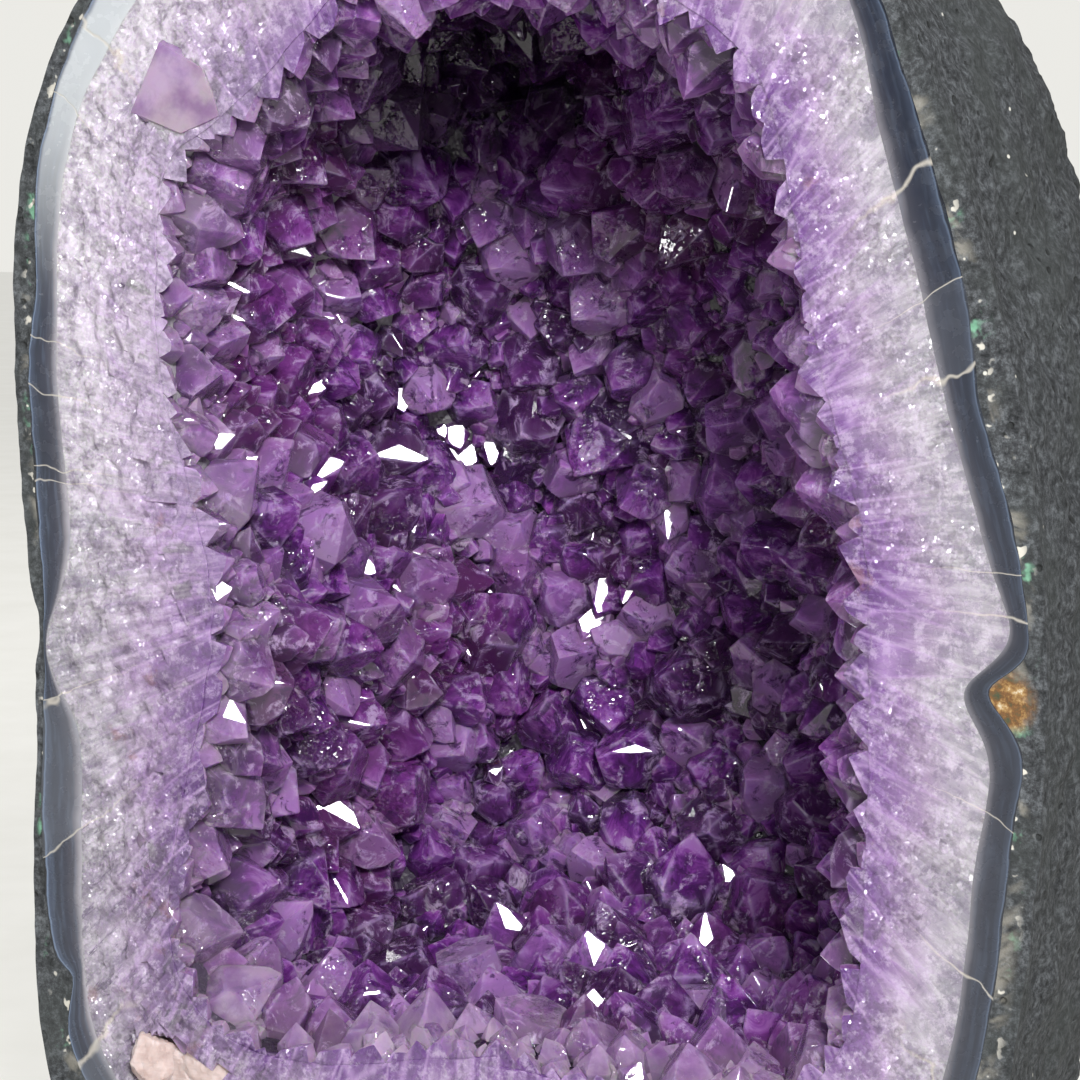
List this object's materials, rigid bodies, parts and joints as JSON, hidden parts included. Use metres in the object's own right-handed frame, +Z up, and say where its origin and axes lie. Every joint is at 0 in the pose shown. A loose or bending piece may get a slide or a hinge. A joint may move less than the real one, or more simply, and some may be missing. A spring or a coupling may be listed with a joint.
{
  "type": "amethyst geode",
  "caption": "Tall amethyst geode sawn open to show a crystal-lined cavity, with a rough basalt back and a sawn base it stands on.",
  "frame": {"origin": "bottom centre of the whole stone, on the sawn base", "axes": "+Z up; the sawn and polished face looks towards -Y; +X to the right of that face"},
  "size_m": [0.2316, 0.1482, 0.3059],
  "materials": {
    "basalt": "rough, matt, pitted",
    "agate": "polished",
    "quartz": "sawn, sugary",
    "amethyst": "glossy natural crystal faces",
    "calcite": "satin"
  },
  "bodies": {
    "root": {"agate_band": "agate", "amethyst_back_wall_01": "amethyst", "amethyst_back_wall_02": "amethyst", "amethyst_back_wall_03": "amethyst", "amethyst_back_wall_04": "amethyst", "amethyst_back_wall_05": "amethyst", "amethyst_back_wall_06": "amethyst", "amethyst_back_wall_07": "amethyst", "amethyst_back_wall_08": "amethyst", "amethyst_back_wall_09": "amethyst", "amethyst_back_wall_10": "amethyst", "amethyst_back_wall_11": "amethyst", "amethyst_back_wall_12": "amethyst", "amethyst_back_wall_13": "amethyst", "amethyst_back_wall_14": "amethyst", "amethyst_back_wall_15": "amethyst", "amethyst_back_wall_16": "amethyst", "amethyst_back_wall_17": "amethyst", "amethyst_back_wall_18": "amethyst", "amethyst_back_wall_19": "amethyst", "amethyst_back_wall_20": "amethyst", "amethyst_back_wall_21": "amethyst", "amethyst_back_wall_22": "amethyst", "amethyst_back_wall_23": "amethyst", "amethyst_back_wall_24": "amethyst", "amethyst_back_wall_25": "amethyst", "amethyst_back_wall_26": "amethyst", "amethyst_back_wall_27": "amethyst", "amethyst_back_wall_28": "amethyst", "amethyst_back_wall_29": "amethyst", "amethyst_back_wall_30": "amethyst", "amethyst_floor_01": "amethyst", "amethyst_left_wall_01": "amethyst", "amethyst_left_wall_02": "amethyst", "amethyst_left_wall_03": "amethyst", "amethyst_left_wall_04": "amethyst", "amethyst_left_wall_05": "amethyst", "amethyst_left_wall_06": "amethyst", "amethyst_left_wall_07": "amethyst", "amethyst_left_wall_08": "amethyst", "amethyst_left_wall_09": "amethyst", "amethyst_left_wall_10": "amethyst", "amethyst_left_wall_11": "amethyst", "amethyst_left_wall_12": "amethyst", "amethyst_right_wall_01": "amethyst", "amethyst_right_wall_02": "amethyst", "amethyst_right_wall_03": "amethyst", "amethyst_right_wall_04": "amethyst", "amethyst_right_wall_05": "amethyst", "amethyst_right_wall_06": "amethyst", "amethyst_roof_01": "amethyst", "amethyst_roof_02": "amethyst", "amethyst_roof_03": "amethyst", "basalt_rind": "basalt", "calcite_block_1": "calcite", "calcite_block_2": "calcite", "calcite_block_3": "calcite", "quartz_band": "quartz"}
  },
  "joints": []
}
